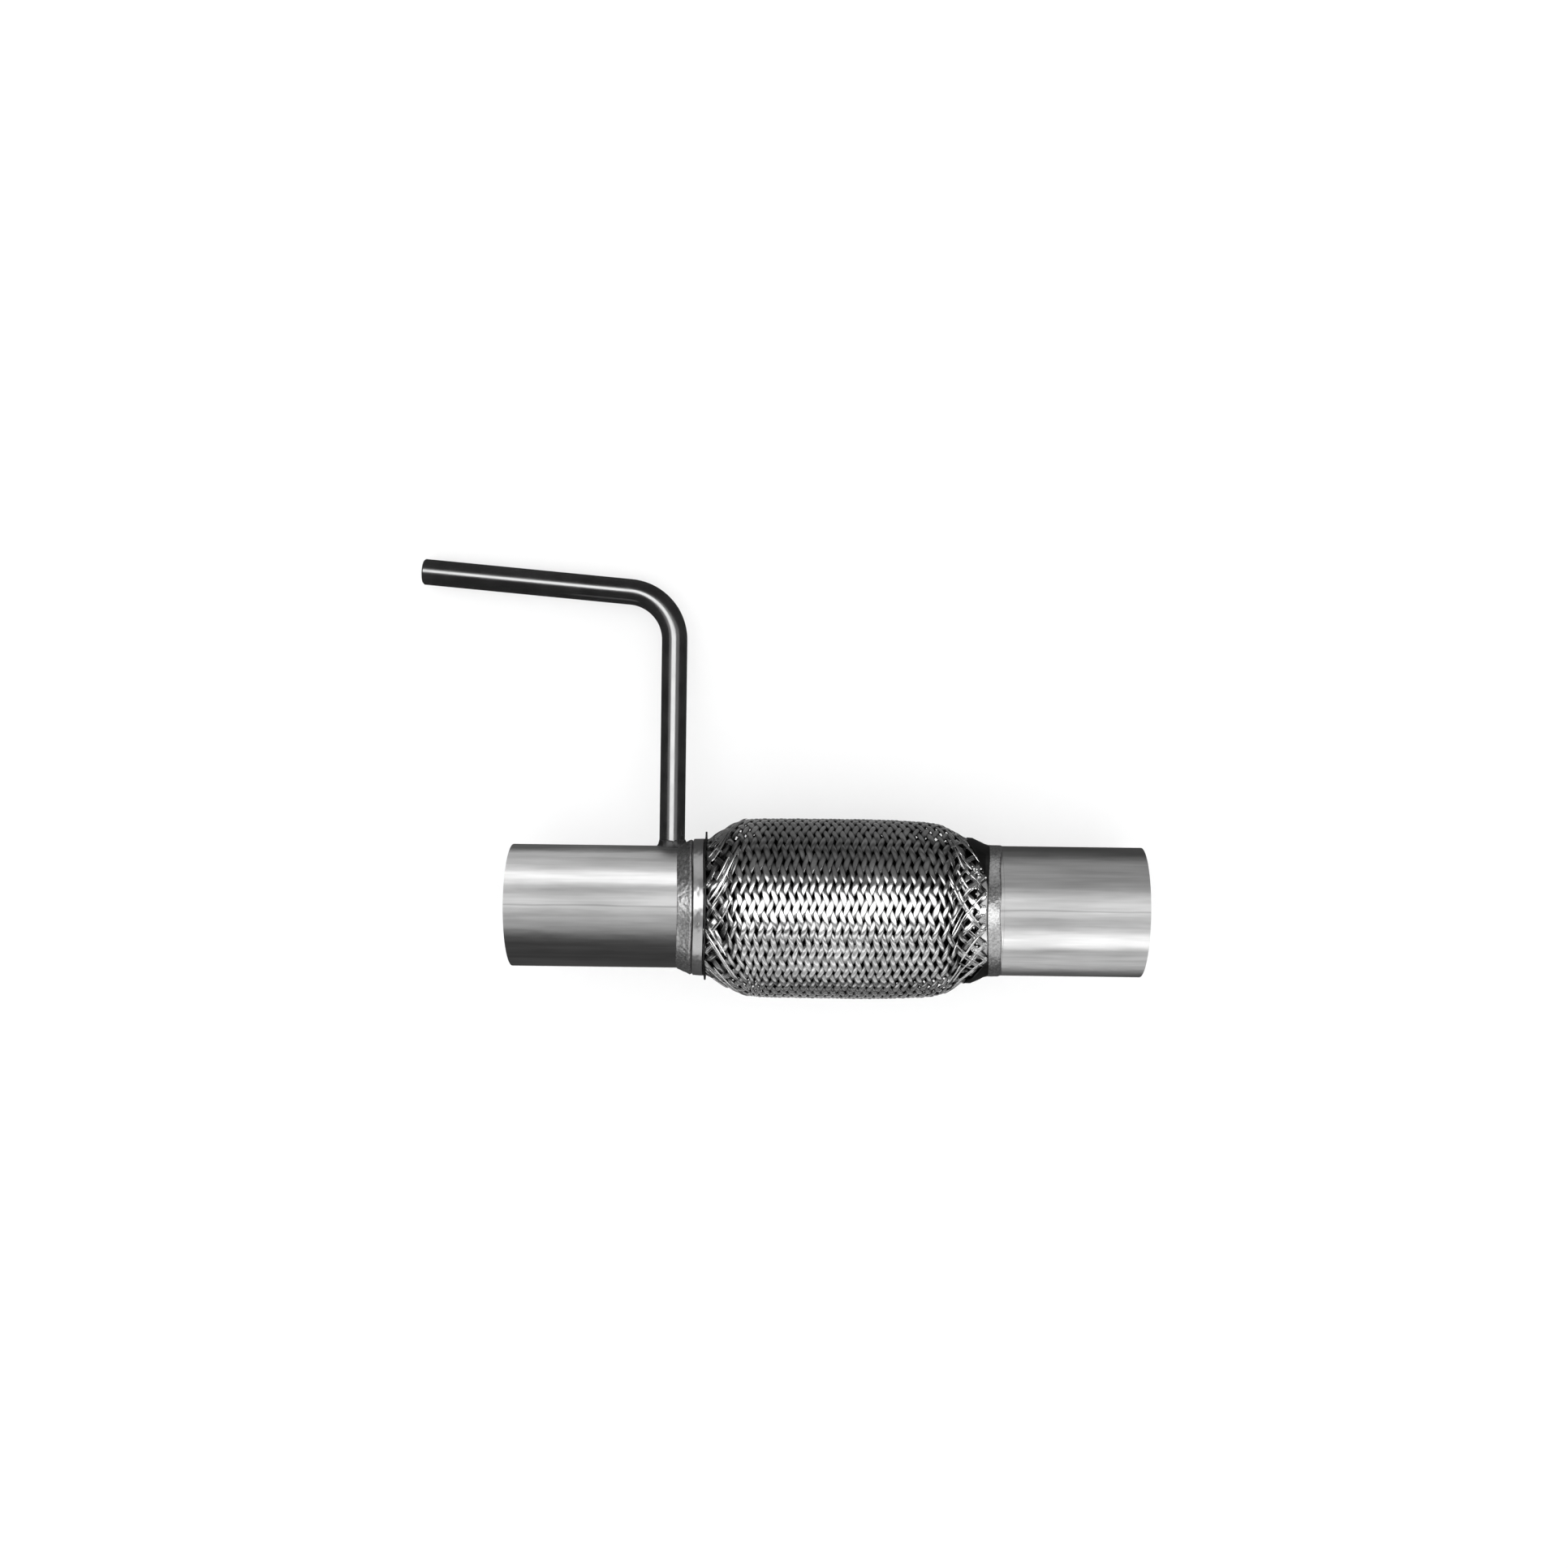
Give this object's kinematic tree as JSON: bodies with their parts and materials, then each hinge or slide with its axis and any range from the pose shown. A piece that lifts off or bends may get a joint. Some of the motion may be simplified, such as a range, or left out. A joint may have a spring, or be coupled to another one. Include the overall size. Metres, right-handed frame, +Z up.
{
  "type": "exhaust flex pipe",
  "caption": "Exhaust flex pipe: a braided bellows section between two straight tube ends, with a bent hanger rod welded to the inlet tube.",
  "frame": {"origin": "centre of the inlet pipe's open end, on the pipe's axis", "axes": "+X along the pipe's axis from the inlet mouth to the outlet mouth, +Z up as it lies, +Y towards the side that the hanger rod reaches out to"},
  "size_m": [0.3005, 0.1774, 0.0752],
  "materials": {
    "tube_steel": "satin, drawn lengthwise",
    "cap_steel": "satin",
    "braid_wire": "bright drawn wire",
    "bellows_steel": "bright cold rolled",
    "liner_steel": "bright cold rolled",
    "weld_metal": "rough as welded",
    "black_rod": "glossy black oxide"
  },
  "bodies": {
    "root": {"inlet_pipe": "tube_steel", "outlet_pipe": "tube_steel", "inlet_cap": "cap_steel", "outlet_cap": "cap_steel", "braid_sleeve": "braid_wire", "bellows": "bellows_steel", "interlock_liner": "liner_steel", "inlet_weld": "weld_metal", "outlet_weld": "weld_metal", "hanger_rod": "black_rod", "hanger_weld": "weld_metal"}
  },
  "joints": []
}
